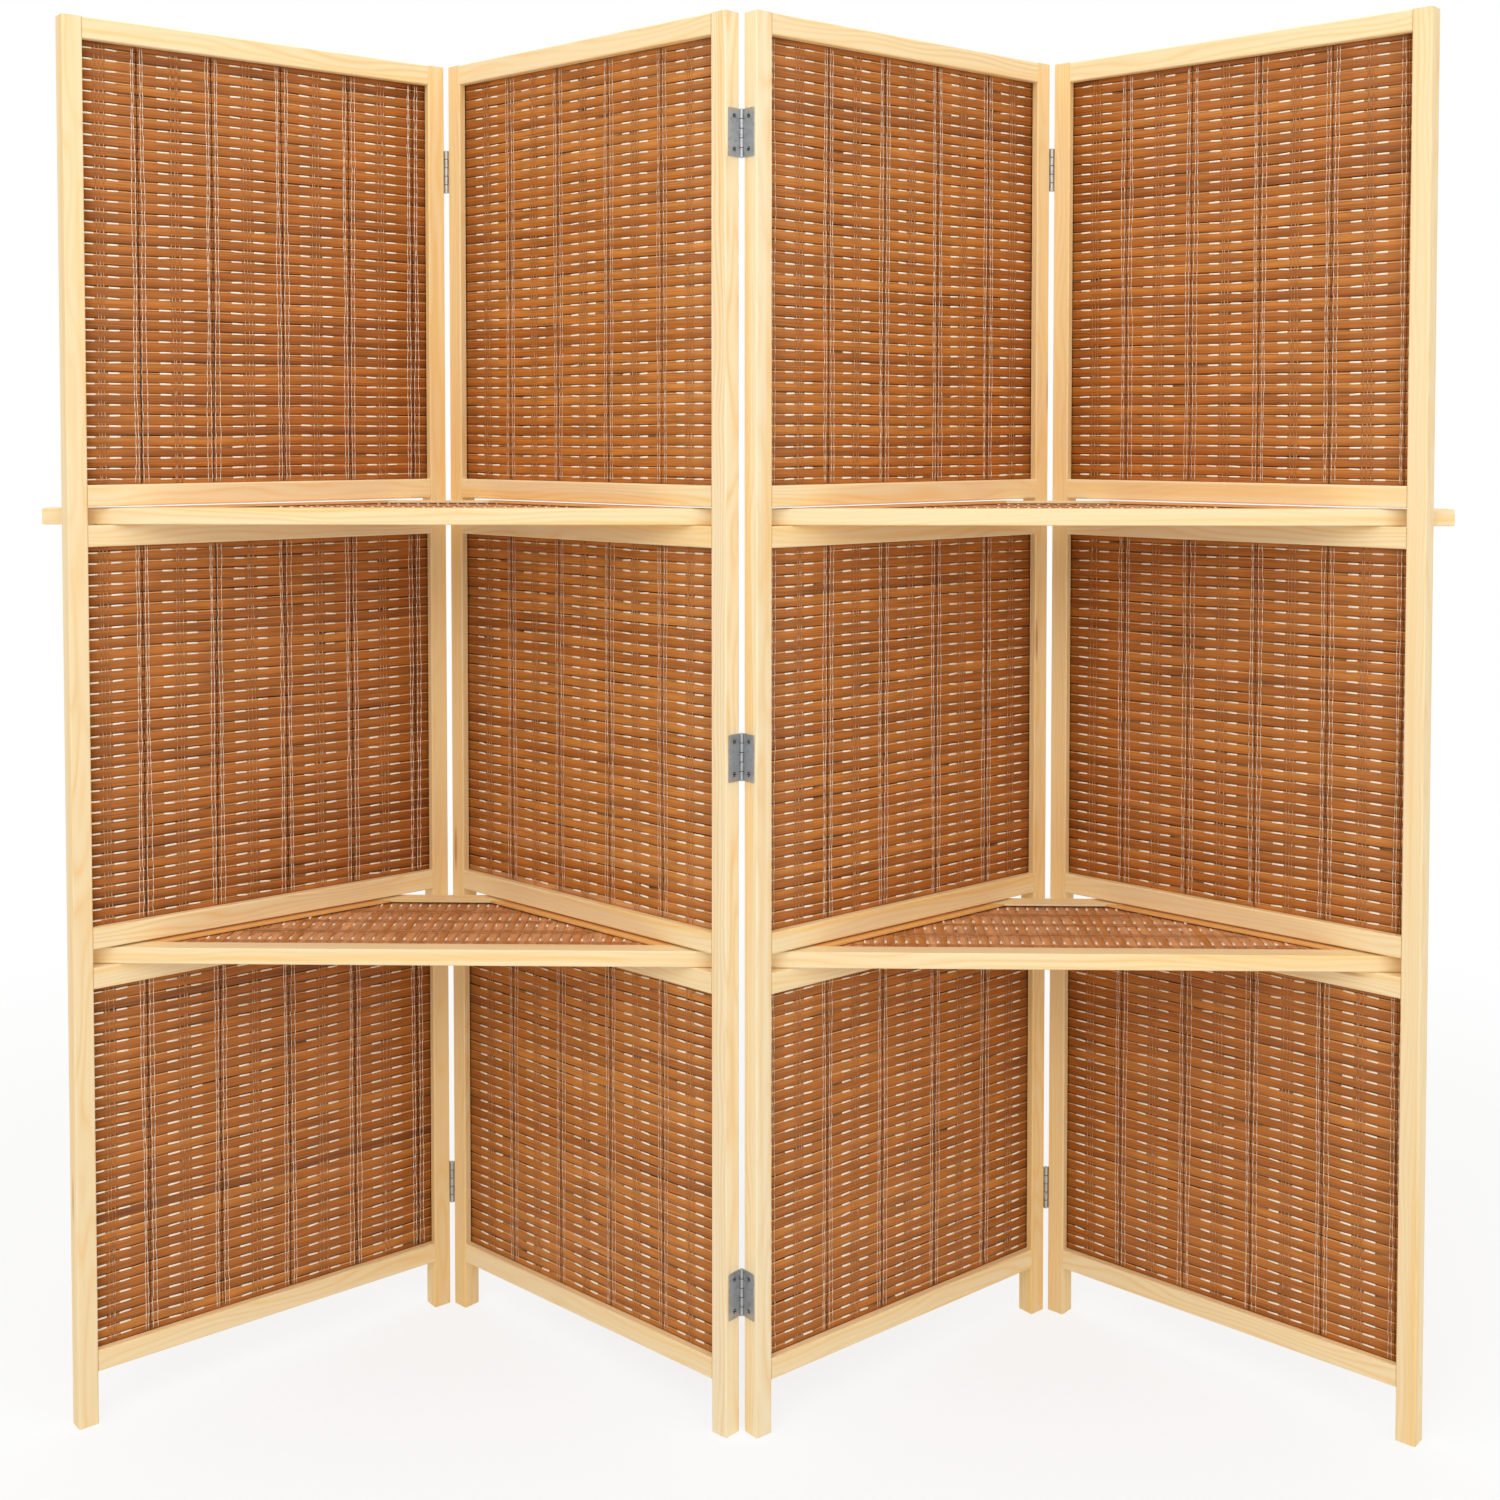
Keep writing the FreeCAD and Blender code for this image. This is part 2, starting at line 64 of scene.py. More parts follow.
class Wire:
    """A socket of a material. Sums on wires add Math nodes, and node() adds any other node."""

    def __init__(self, tree, socket=None):
        self.tree = tree
        self.socket = socket

    def node(self, kind, settings, inputs, output=0):
        made = self.tree.nodes.new(kind)
        for name, value in settings.items():
            setattr(made, name, value)
        for name, value in inputs.items():
            if isinstance(value, Wire):
                self.tree.links.new(value.socket, made.inputs[name])
            else:
                made.inputs[name].default_value = value
        return Wire(self.tree, made.outputs[output] if made.outputs else None)

    def sum(self, operation, first, second):
        return self.node("ShaderNodeMath", {"operation": operation}, {0: first, 1: second})

    def __add__(self, other):
        return self.sum("ADD", self, other)

    def __radd__(self, other):
        return self.sum("ADD", other, self)

    def __sub__(self, other):
        return self.sum("SUBTRACT", self, other)

    def __rsub__(self, other):
        return self.sum("SUBTRACT", other, self)

    def __mul__(self, other):
        return self.sum("MULTIPLY", self, other)

    def __rmul__(self, other):
        return self.sum("MULTIPLY", other, self)

    def __pow__(self, other):
        return self.sum("POWER", self, other)

    def __gt__(self, other):
        return self.sum("GREATER_THAN", self, other)

    def step(self, low, high):
        """0 below low, 1 above high, smooth between."""
        return self.node("ShaderNodeMapRange", {"interpolation_type": "SMOOTHSTEP"},
                         {"Value": self, "From Min": low, "From Max": high})

    def part(self, axis):
        """One of the three values of a place."""
        return self.node("ShaderNodeSeparateXYZ", {}, {0: self}, axis)

    def scaled(self, by):
        return self.node("ShaderNodeVectorMath", {"operation": "MULTIPLY"}, {0: self, 1: by})

    def turned(self, angles):
        return self.node("ShaderNodeMapping", {}, {"Vector": self, "Rotation": angles})

    def noise(self, detail=2.0, roughness=0.5):
        return self.node("ShaderNodeTexNoise", {}, {"Vector": self, "Scale": 1.0, "Detail": detail,
                                                    "Roughness": roughness})

    def output(self, name):
        """Another output of the same node."""
        return Wire(self.tree, self.socket.node.outputs[name])

    def blend(self, first, factor, second):
        """The first colour, going over to the second by a factor."""
        return self.node("ShaderNodeMix", {"data_type": "RGBA"}, {0: factor, 6: first, 7: second}, 2)

    def blend_places(self, first, factor, second):
        """The first place, going over to the second by a factor."""
        return self.node("ShaderNodeMix", {"data_type": "VECTOR"}, {0: factor, 4: first, 5: second}, 1)

    def dimmed(self, factor):
        """This colour times a value."""
        return self.node("ShaderNodeVectorMath", {"operation": "SCALE"}, {0: self, "Scale": factor})

    def bump(self, strength, distance):
        return self.node("ShaderNodeBump", {}, {"Strength": strength, "Distance": distance, "Height": self})


def new_material(name):
    """An empty material, and a wire to add its nodes by."""
    material = bpy.data.materials.new(name)
    material.use_nodes = True
    material.node_tree.nodes.clear()
    return material, Wire(material.node_tree)


def surface(wire, inputs):
    """Ends a material with one shader."""
    shader = wire.node("ShaderNodeBsdfPrincipled", {}, inputs)
    wire.node("ShaderNodeOutputMaterial", {}, {"Surface": shader})


def pine_surface(wire, grain, ground):
    """Pine on a vector whose X runs along the grain: rings cut lengthwise, fibres, warm streaks, knots."""
    drift = grain.scaled(DRIFT_SCALE).noise(1.0)
    depth = grain.part(1) * RING_SLOPE[0] + grain.part(2) * RING_SLOPE[1]
    ring = depth * (1 / RING_SPACING) + drift * RING_DRIFT
    late = (ring.sum("PINGPONG", ring, 0.5) * 2) ** RING_SHARPNESS
    strong = grain.scaled(STRONG_SCALE).noise(1.0).step(*STRONG_RANGE)
    fibre = grain.scaled(FIBRE_SCALE).noise(3.0, 0.6)
    warm = grain.scaled(WARM_SCALE).noise(1.0).step(*WARM_RANGE)
    cells = grain.scaled(KNOT_SCALE)
    near = cells.node("ShaderNodeTexVoronoi", {}, {"Vector": cells, "Scale": 1.0})
    knot = (1 - near.step(*KNOT_RANGE)) * (near.output("Color").part(0) > CELLS_WITHOUT_KNOT)
    tone = wire.blend(ground, warm * WARM_SHARE, PINE_WARM)
    tone = wire.blend(tone, late * (LATE_LEAST + strong * LATE_MORE), PINE_LATE)
    tone = wire.blend(tone, fibre.step(*FIBRE_RANGE) * FIBRE_SHARE, PINE_LATE)
    tone = wire.blend(tone, knot * KNOT_SHARE, PINE_KNOT)
    surface(wire, {"Base Color": tone.dimmed(0.94 + fibre * 0.12), "Roughness": 0.40 + fibre * 0.16,
                   "Normal": (fibre + late * 0.4).bump(0.12, 0.0004)})


def object_place(wire):
    """The place on the object, in metres."""
    return wire.node("ShaderNodeTexCoord", {}, {}, "Object")


def pine(name, angles, ground):
    """Pine whose grain lies along X once the object is turned by these angles."""
    material, wire = new_material(name)
    pine_surface(wire, object_place(wire).turned(angles), ground)
    return material


def dress(node, material):
    """Gives a CAD node a finish in all its slots."""
    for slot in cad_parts[node].material_slots:
        slot.material = material


UPRIGHT = (0, math.pi / 2, 0)
# The valley posts get a deeper gold ground, painted shade with warm bounce light in the folds. The ridge
# posts get a paler one, painted light.
POST_GROUPS = {
    "outer": (PINE_PALE, ("left_post_1", "right_post_4")),
    "valley": (PINE_VALLEY_SHADE, ("right_post_1", "left_post_2", "right_post_3", "left_post_4")),
    "ridge": (PINE_RIDGE_LIGHT, ("right_post_2", "left_post_3")),
}
for group, (ground, nodes) in POST_GROUPS.items():
    pine_posts = pine(f"pine_{group}_posts", UPRIGHT, ground)
    for node in nodes:
        dress(node, pine_posts)
pine_slants = {1: pine("pine_slant_back", (0, 0, -FOLD_ANGLE), PINE_PALE),
               -1: pine("pine_slant_front", (0, 0, FOLD_ANGLE), PINE_PALE)}
SLANTS = {1: 1, 2: -1, 3: 1, 4: -1}
for panel, slant in SLANTS.items():
    for node in ("top_rail", "bottom_rail", "slot_rails", "dowels"):
        dress(f"{node}_{panel}", pine_slants[slant])


# Mats of the panels and shelves: flat bamboo strips stained brown, laid side by side.
# They are tied by cotton threads and held by their edges in grooves, level in the panels and front to back
# in the shelves. A mat is made flat, along its slats, across them and out of its face, then put in place.

PANEL_WIDTH = 0.508
FRAME_DEPTH = 0.024
HINGE_GAP = 0.0044
HINGE_PROUD = 0.0016
FOLD_LINE_STEP = ((PANEL_WIDTH + HINGE_GAP) * math.cos(FOLD_ANGLE)
                  + (FRAME_DEPTH + 2 * HINGE_PROUD) * math.sin(FOLD_ANGLE))
VALLEY_X = {"left": -FOLD_LINE_STEP, "right": FOLD_LINE_STEP}
MAT_EDGE_INSET = 0.0002
SHELF_POINT_CUT = 0.0098
PANEL_FIRST_BANDS = {1: 0.093, 2: 0.114, 3: 0.122, 4: 0.106}
SHELF_FIRST_BAND = -0.048
SLAT_PITCH = 0.0130
SLAT_HALF_HEIGHT = 0.0051
SLAT_HALF_THICKNESS = 0.0010
SLAT_HEIGHT_SPREAD = (0.94, 1.05)
SLAT_BOW = 0.00012
SLAT_LEAN = (0.00004, 0.00022)
SLAT_SWAYS = ((0.0007, 13, 5, 1.7), (0.0004, 31, -11, 2.9))
SLAT_STATIONS = 7
SLAT_OUTLINE = np.array([(1.00, 0.45), (0.87, 0.92), (0.00, 1.05), (-0.87, 0.92), (-1.00, 0.45),
                         (-1.00, -0.45), (-0.87, -0.92), (0.00, -1.05), (0.87, -0.92), (1.00, -0.45)])
SLAT_BROWN = (0.41, 0.122, 0.013, 1)
SLAT_DARK = (0.18, 0.045, 0.005, 1)
SLAT_TAN = (0.58, 0.217, 0.034, 1)
SLAT_PAINTED_SHEEN = (0.74, 0.39, 0.19, 1)
SLAT_TONE_SPREAD, SLAT_TONE_DRIFT, SLAT_LIGHT_SHADE_TONE, SLAT_TONE_MOST = 0.13, 0.06, 0.16, 1.5
SLAT_TAN_SHARE, SLAT_DARK_SHARE = 0.85, 0.75
STREAK_SCALE, TAN_STREAK_SHARE, DARK_STREAK_SHARE = (9, 900, 1), 0.55, 0.60
PATCH_SCALE = (14, 70, 1)
SLAT_GLOSS = 0.42
PANEL_SLAT_TONES = {1: 0.48, 2: 0.77, 3: 0.57, 4: 0.60}
# Shelf slats sit above tone 1: painted paler, as the light from above and the sheen on the shelf tops.
SHELF_SLAT_LIT_TONE = 1.32
PANEL_SEAM_SHADE_TONE, SHELF_SEAM_SHADE_TONE = 0.15, 0.32
PANEL_THREADS = {1: 0.92, 2: 0.58, 3: 0.74, 4: 0.68}
SHELF_THREADS = 0.16
PANEL_PALE_SIZE, SHELF_PALE_SIZE = (0.0078, 0.00125, 0.00185), (0.0050, 0.00175, 0.00210)

Place = collections.namedtuple("Place", "start turn")
Mat = collections.namedtuple("Mat", "name node body place low high ends centres pitch "
                                    "first_band slat_tone seam_tone threads pale_size seed")


def panel_place(panel):
    """A panel's left end at the floor, in mid-depth, and its axes: along it, up it, and out of its front."""
    angle = SLANTS[panel] * FOLD_ANGLE
    along = np.array([math.cos(angle), math.sin(angle), 0])
    out = np.array([math.sin(angle), -math.cos(angle), 0])
    middle = np.array([(panel - (len(SLANTS) + 1) / 2) * FOLD_LINE_STEP, 0, 0])
    return Place(middle - PANEL_WIDTH / 2 * along, np.array([along, (0, 0, 1), out]))


def node_points(node):
    """The corners of a CAD node's mesh."""
    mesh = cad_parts[node].data
    points = np.empty(3 * len(mesh.vertices), dtype=np.float32)
    mesh.vertices.foreach_get("co", points)
    return points.reshape(-1, 3)


def shelf_place(side, node):
    """A shelf's valley line in the middle of its mat, and its axes: to the back, to the left, and up."""
    heights = node_points(node)[:, 2]
    return Place(np.array([VALLEY_X[side], 0, (heights.min() + heights.max()) / 2]),
                 np.array([(0, 1, 0), (-1, 0, 0), (0, 0, 1)]))


def flat_box(node, place):
    """The least and greatest places of a CAD mat, laid flat, just inside its edges."""
    flat = (node_points(node) - place.start) @ place.turn.T
    return flat.min(axis=0) + MAT_EDGE_INSET, flat.max(axis=0) - MAT_EDGE_INSET


def panel_ends(mat, across):
    """The slats of a panel all end in the grooves of its posts."""
    return mat.low[0] + 0 * across, mat.high[0] + 0 * across


def shelf_ends(mat, across):
    """The slats of a shelf start in its front rail and end in its back rail or its slanting side rails."""
    side = mat.low[0] + (mat.high[1] - np.abs(across)) * math.tan(FOLD_ANGLE)
    return mat.low[0] + 0 * across, np.minimum(side, mat.high[0])


def slat_centres(low, high):
    """The middles of as many slats as fill a mat from low to high, and their pitch."""
    count = round((high - low) / SLAT_PITCH)
    pitch = (high - low) / count
    return low + (np.arange(count) + 0.5) * pitch, pitch


MATS = []
for panel in SLANTS:
    place = panel_place(panel)
    for part in ("lower", "middle", "upper"):
        node = f"{part}_mat_{panel}"
        low, high = flat_box(node, place)
        MATS.append(Mat(f"{part}_%s_{panel}", node, f"panel_{panel}", place, low, high, panel_ends,
                        *slat_centres(low[1], high[1]), PANEL_FIRST_BANDS[panel], PANEL_SLAT_TONES[panel],
                        PANEL_SEAM_SHADE_TONE, PANEL_THREADS[panel], PANEL_PALE_SIZE, len(MATS)))
for level in ("lower", "upper"):
    for side in VALLEY_X:
        shelf = f"{level}_{side}_shelf"
        node = f"{shelf}_mat"
        place = shelf_place(side, node)
        low, high = flat_box(node, place)
        MATS.append(Mat(f"{shelf}_%s", node, shelf, place, low, high, shelf_ends,
                        *slat_centres(low[1] + SHELF_POINT_CUT, high[1] - SHELF_POINT_CUT), SHELF_FIRST_BAND,
                        SHELF_SLAT_LIT_TONE, SHELF_SEAM_SHADE_TONE, SHELF_THREADS, SHELF_PALE_SIZE, len(MATS)))


def carried(rings):
    """Closed bars from rings[bar, station, corner]: quads join section to section, caps close the ends."""
    bars, stations, corners = rings.shape[:3]
    index = np.arange(bars * stations * corners).reshape(bars, stations, corners)
    ahead = np.roll(index, -1, axis=2)
    quads = np.stack([index[:, :-1], ahead[:, :-1], ahead[:, 1:], index[:, 1:]], axis=-1).reshape(-1, 4)
    caps = np.concatenate([index[:, 0, ::-1], index[:, -1]])
    return rings.reshape(-1, 3), quads, caps


def new_piece(name, body, place, sets, tones, material):
    """One object from sets of bars made flat, with the flat as its UV map and a tone at each point."""
    starts = np.cumsum([0] + [len(points) for points, _, _ in sets])
    points = np.concatenate([bars[0] for bars in sets])
    faces = [bars[1] + start for bars, start in zip(sets, starts)]
    faces += [bars[2] + start for bars, start in zip(sets, starts)]
    corners = np.concatenate([face.ravel() for face in faces])
    sides = np.concatenate([np.full(len(face), face.shape[1]) for face in faces])
    mesh = bpy.data.meshes.new(name)
    mesh.vertices.add(len(points))
    mesh.vertices.foreach_set("co", (place.start + points @ place.turn).astype(np.float32).ravel())
    mesh.loops.add(len(corners))
    mesh.loops.foreach_set("vertex_index", corners.astype(np.int32))
    mesh.polygons.add(len(sides))
    mesh.polygons.foreach_set("loop_start", (np.cumsum(sides) - sides).astype(np.int32))
    mesh.update(calc_edges=True)
    mesh.polygons.foreach_set("use_smooth", np.ones(len(sides), dtype=bool))
    flat = mesh.uv_layers.new(name="flat")
    flat.data.foreach_set("uv", points[corners][:, :2].astype(np.float32).ravel())
    tone = mesh.attributes.new("tone", "FLOAT", "POINT")
    tone.data.foreach_set("value", np.ravel(tones).astype(np.float32))
    mesh.materials.append(material)
    piece = bpy.data.objects.new(name, mesh)
    bpy.context.scene.collection.objects.link(piece)
    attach(piece, body)
    return piece


def woven_piece(mat, kind, sets, tones, material):
    """One object of a mat, put in its place and on its body."""
    return new_piece(mat.name % kind, mat.body, mat.place, sets, tones, material)


def sway(along, across, seed):
    """How far the slats wander across themselves: two waves, each with a height, a rate along the slats,
    a rate across them and a shift from mat to mat."""
    return sum(height * np.sin(along * rate_along + across * rate_across + seed * shift)
               for height, rate_along, rate_across, shift in SLAT_SWAYS)


def slat_bars(mat, chance):
    """Slats: the outline carried along each, its ends cut by the mat's edge, with a slow sway and a bow."""
    count = len(mat.centres)
    middle = mat.centres[:, None, None]
    part = np.linspace(0, 1, SLAT_STATIONS)[None, :, None]
    width = SLAT_OUTLINE[None, None, :, 0]
    across = middle + SLAT_HALF_HEIGHT * chance.uniform(*SLAT_HEIGHT_SPREAD, (count, 1, 1)) * width
    start, end = mat.ends(mat, across)
    along = start + part * (end - start)
    bow = chance.normal(0, SLAT_BOW, (count, SLAT_STATIONS, 1))
    lean = chance.uniform(*SLAT_LEAN, (count, 1, 1)) * -width
    out = SLAT_HALF_THICKNESS * SLAT_OUTLINE[None, None, :, 1] + bow + lean
    across = across + sway(along, middle, mat.seed)
    return np.stack(np.broadcast_arrays(along, across, out), axis=-1)


def slat_tones(mat, chance):
    """A tone for each slat, with painted light at its upper edge and painted shade at its lower one."""
    count = len(mat.centres)
    own = np.clip(chance.normal(mat.slat_tone, SLAT_TONE_SPREAD, (count, 1, 1)), 0, SLAT_TONE_MOST)
    along = chance.normal(0, SLAT_TONE_DRIFT, (count, SLAT_STATIONS, 1))
    return own + along + SLAT_LIGHT_SHADE_TONE * SLAT_OUTLINE[None, None, :, 0]


def flat_and_tone(wire):
    """The place on the flat mat, and the tone of the point."""
    return (wire.node("ShaderNodeUVMap", {"uv_map": "flat"}, {}),
            wire.node("ShaderNodeAttribute", {"attribute_name": "tone"}, {}, "Fac"))


def bamboo_slats():
    """Stained bamboo, dark at tone 0, brown at a half and tan at 1. Above 1 it is painted paler, as top
    light and sheen. It has streaks and patches.
    """
    material, wire = new_material("bamboo_slats")
    flat, tone = flat_and_tone(wire)
    streak = flat.scaled(STREAK_SCALE).noise(3.0, 0.62)
    patch = flat.scaled(PATCH_SCALE).noise(2.0)
    base = wire.blend(SLAT_BROWN, tone.step(0.5, 1.0) * SLAT_TAN_SHARE, SLAT_TAN)
    base = wire.blend(base, (1 - tone.step(0.0, 0.5)) * SLAT_DARK_SHARE, SLAT_DARK)
    base = wire.blend(base, tone.step(1.0, SLAT_TONE_MOST), SLAT_PAINTED_SHEEN)
    base = wire.blend(base, streak.step(0.5, 0.72) * TAN_STREAK_SHARE, SLAT_TAN)
    base = wire.blend(base, (1 - streak.step(0.3, 0.5)) * DARK_STREAK_SHARE, SLAT_DARK)
    base = base.dimmed(0.54 + patch * 0.92)
    surface(wire, {"Base Color": base, "Roughness": 0.46 + streak * 0.22,
                   "Specular IOR Level": SLAT_GLOSS, "Normal": streak.bump(0.25, 0.0004)})
    return material


DRAW_SEED = 11
chance = np.random.default_rng(DRAW_SEED)
slats_finish = bamboo_slats()
for mat in MATS:
    bars = carried(slat_bars(mat, chance))
    slats = woven_piece(mat, "slats", [bars], slat_tones(mat, chance), slats_finish)
    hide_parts(mat.node)


# Sticks in the seams between the slats: a strip that closes the seam, painted dark as the shade in the gap,
# and a thin tan splint through it.
# On the splint are bare pale lengths that stand proud on both faces, two between each pair of thread bands.

BAY = 0.093
BAYS_EITHER_WAY = 6
PALE_PLACES = (0.333, 0.661)
PALE_SHIFT, PALE_TILT = 0.0004, 0.00018
PALE_LENGTH_SPREAD, PALE_HEIGHT_SPREAD = (0.9, 1.06), (0.85, 1.1)
PALE_TONES = (0.88, 1.0)
SPLINT_HALF_SIZE = (0.00085, 0.00150)
SHADE_STRIP_HALF_SIZE = (0.00205, 0.00035)
SPLINT_DROP = 0.0008
SPLINT_STATIONS = 13
SPLINT_TONE, SPLINT_TONE_SPREAD, SPLINT_TONE_RANGE = 0.44, 0.12, (0.1, 0.62)
SHADE_STRIP_TONE_SPREAD = 0.08
HEXAGON_TURNS = np.arange(6) * math.pi / 3
HEXAGON = np.stack([np.cos(HEXAGON_TURNS), np.sin(HEXAGON_TURNS)], axis=1)
PALE_STATIONS = np.array([(-1.00, 0.35), (-0.88, 0.96), (0.0, 1.0), (0.88, 0.96), (1.00, 0.35)])
STICK_DARK_AND_SEAM_SHADE = (0.055, 0.016, 0.004, 1)
STICK_TAN = (0.78, 0.39, 0.15, 1)
STICK_CREAM = (0.96, 0.89, 0.77, 1)
STICK_STREAK_SCALE = (60, 1500, 1)
STICK_GLOSS = 0.12


def band_middles(mat, share):
    """Places along the slats that lie a share of a bay beyond a thread band."""
    return mat.first_band + BAY * (np.arange(-BAYS_EITHER_WAY, BAYS_EITHER_WAY + 1) + share)


def seam_bars(mat, drop, half_size):
    """A stretched hexagon carried along each seam, lower than its middle by a drop."""
    seams = (mat.centres[1:] + mat.centres[:-1])[:, None, None] / 2
    part = np.linspace(0, 1, SPLINT_STATIONS)[None, :, None]
    start, end = mat.ends(mat, seams)
    along = start + part * (end - start)
    across = seams - drop + half_size[0] * HEXAGON[None, None, :, 0] + sway(along, seams, mat.seed)
    out = half_size[1] * HEXAGON[None, None, :, 1]
    return np.stack(np.broadcast_arrays(along, across, out), axis=-1)


def splint_tones(mat, chance):
    """Tones about the tan one, that change from place to place along each splint."""
    tones = chance.normal(SPLINT_TONE, SPLINT_TONE_SPREAD, (len(mat.centres) - 1, SPLINT_STATIONS, 1))
    return np.repeat(np.clip(tones, *SPLINT_TONE_RANGE), len(HEXAGON), axis=2).ravel()


def pale_bars(mat, chance):
    """Bare lengths of splint: a hexagon that swells over a short length and closes again."""
    seams = (mat.centres[1:] + mat.centres[:-1]) / 2
    places = np.concatenate([band_middles(mat, share) for share in PALE_PLACES])
    seams, places = (grid.ravel() for grid in np.meshgrid(seams, places))
    places = places + chance.normal(0, PALE_SHIFT, len(places))
    start, end = mat.ends(mat, seams)
    half_length, half_height, half_depth = mat.pale_size
    held = (places > start + half_length) & (places < end - half_length)
    seams, places = seams[held][:, None, None], places[held][:, None, None]
    station = PALE_STATIONS[None, :, :1]
    swell = PALE_STATIONS[None, :, 1:]
    along = places + half_length * chance.uniform(*PALE_LENGTH_SPREAD, places.shape) * station
    height = half_height * chance.uniform(*PALE_HEIGHT_SPREAD, places.shape)
    tilt = chance.normal(0, PALE_TILT, places.shape) * station
    across = seams - SPLINT_DROP + height * swell * HEXAGON[None, None, :, 0] + tilt
    across = across + sway(along, seams, mat.seed)
    out = half_depth * swell * HEXAGON[None, None, :, 1]
    return np.stack(np.broadcast_arrays(along, across, out), axis=-1)


def stick_finish():
    """Strips painted dark at tone 0 as the shade in the seams, tan splints near a half and bare bamboo at 1,
    with fine streaks.
    """
    material, wire = new_material("bamboo_sticks")
    flat, tone = flat_and_tone(wire)
    streak = flat.scaled(STICK_STREAK_SCALE).noise(2.0)
    base = wire.blend(STICK_DARK_AND_SEAM_SHADE, tone.step(0.0, 0.5), STICK_TAN)
    base = wire.blend(base, tone.step(0.5, 1.0), STICK_CREAM)
    surface(wire, {"Base Color": base.dimmed(0.85 + streak * 0.3), "Roughness": 0.5 + streak * 0.15,
                   "Specular IOR Level": STICK_GLOSS, "Normal": streak.bump(0.2, 0.0003)})
    return material


sticks_finish = stick_finish()
for mat in MATS:
    # The strips are dark as painted shade in the seams.
    shade_strips = carried(seam_bars(mat, 0, SHADE_STRIP_HALF_SIZE))
    splints = carried(seam_bars(mat, SPLINT_DROP, SPLINT_HALF_SIZE))
    lengths = carried(pale_bars(mat, chance))
    tones = [chance.normal(mat.seam_tone, SHADE_STRIP_TONE_SPREAD, len(shade_strips[0])), splint_tones(mat, chance),
             chance.uniform(*PALE_TONES, len(lengths[0]))]
    woven_piece(mat, "sticks", [shade_strips, splints, lengths], np.concatenate(tones), sticks_finish)


# Threads that tie the mats: bands of pale cotton threads with a dark pair between them, partly dark stain
# and partly painted shade of the gap between the pale threads.
# Half-way from band to band is a narrow band of brown ones. They cross both faces, over each slat and into
# each seam.

Band = collections.namedtuple("Band", "share offsets over_tone knot_tone")
THREAD_BANDS = (
    Band(0.0, (-0.0076, -0.0042, 0.0030, 0.0074), 0.80, 1.10),
    # The dark pair is dark stain, with painted shade of the gap between the pale threads.
    Band(0.0, (-0.0011, 0.0001), -0.10, 0.05),
    Band(0.497, (-0.0044, -0.0004, 0.0040), 0.40, 0.78),
)
THREAD_BROWN_TONE = 0.5
THREAD_TONE_SPREAD = 0.07
THREAD_RADIUS = 0.00031
KNOT_RADIUS = 0.00058
THREAD_OVER = 0.00130
THREAD_IN_SEAM = 0.00120
THREAD_WANDER = 0.00022
THREAD_JITTER = 0.00030
THREAD_REACH = 0.0013
DIAMOND = np.array([(1, 0), (0, 1), (-1, 0), (0, -1)])
THREAD_DARK_AND_SHADE = (0.09, 0.028, 0.008, 1)
THREAD_BROWN = (0.47, 0.19, 0.065, 1)
THREAD_PALE = (0.86, 0.74, 0.60, 1)
STRAND_SCALE = (700, 500, 1)
THREAD_GLOSS = 0.2


def thread_bars(mat, band, middle, face, chance):
    """Threads: a diamond carried across the slats, over each and knotted at each seam, wandering a bit."""
    offsets = np.array(band.offsets)
    start, end = mat.ends(mat, np.stack([mat.centres - mat.pitch / 2, mat.centres + mat.pitch / 2]))
    held = mat.centres[(start.max(0) < middle + offsets.min()) & (end.min(0) > middle + offsets.max())]
    if len(held) < 2:
        return None
    steps = np.arange(2 * len(held) - 1)
    on_slat = (steps % 2 == 0)[None, :, None]
    across = (held[0] + steps * mat.pitch / 2)[None, :, None]
    over = np.where(on_slat, THREAD_OVER, THREAD_IN_SEAM)
    radius = np.where(on_slat, THREAD_RADIUS, KNOT_RADIUS)
    drift = np.cumsum(chance.normal(0, THREAD_WANDER, (len(offsets), len(steps))), axis=1)
    drift = np.clip(drift - drift.mean(axis=1, keepdims=True), -THREAD_REACH, THREAD_REACH)
    drift = drift + chance.normal(0, THREAD_JITTER, drift.shape)
    along = middle + offsets[:, None, None] + drift[:, :, None] + radius * DIAMOND[:, 0]
    out = face * (over + radius * DIAMOND[:, 1])
    rings = np.stack(np.broadcast_arrays(along, across, out), axis=-1)
    tones = np.where(on_slat, band.over_tone, band.knot_tone) - THREAD_BROWN_TONE
    tones = THREAD_BROWN_TONE + tones * mat.threads + chance.normal(0, THREAD_TONE_SPREAD, rings.shape[:3])
    return carried(rings if face < 0 else rings[:, :, ::-1]), tones.ravel()


def thread_finish():
    """Cotton thread, dark at tone 0 as stain and painted gap shade, brown at a half and pale at 1, with the
    lay of its strands in it.
    """
    material, wire = new_material("cotton_threads")
    flat, tone = flat_and_tone(wire)
    strand = flat.scaled(STRAND_SCALE).noise(1.0)
    base = wire.blend(THREAD_DARK_AND_SHADE, tone.step(0.0, THREAD_BROWN_TONE), THREAD_BROWN)
    base = wire.blend(base, tone.step(THREAD_BROWN_TONE, 1.0), THREAD_PALE)
    surface(wire, {"Base Color": base.dimmed(0.75 + strand * 0.5), "Roughness": 0.8 + strand * 0.1,
                   "Specular IOR Level": THREAD_GLOSS})
    return material


threads_finish = thread_finish()
for mat in MATS:
    sets = []
    tones = []
    for face in (1, -1):
        for band in THREAD_BANDS:
            for middle in band_middles(mat, band.share):
                made = thread_bars(mat, band, middle, face, chance)
                if made:
                    sets.append(made[0])
                    tones.append(made[1])
    woven_piece(mat, "threads", sets, np.concatenate(tones), threads_finish)


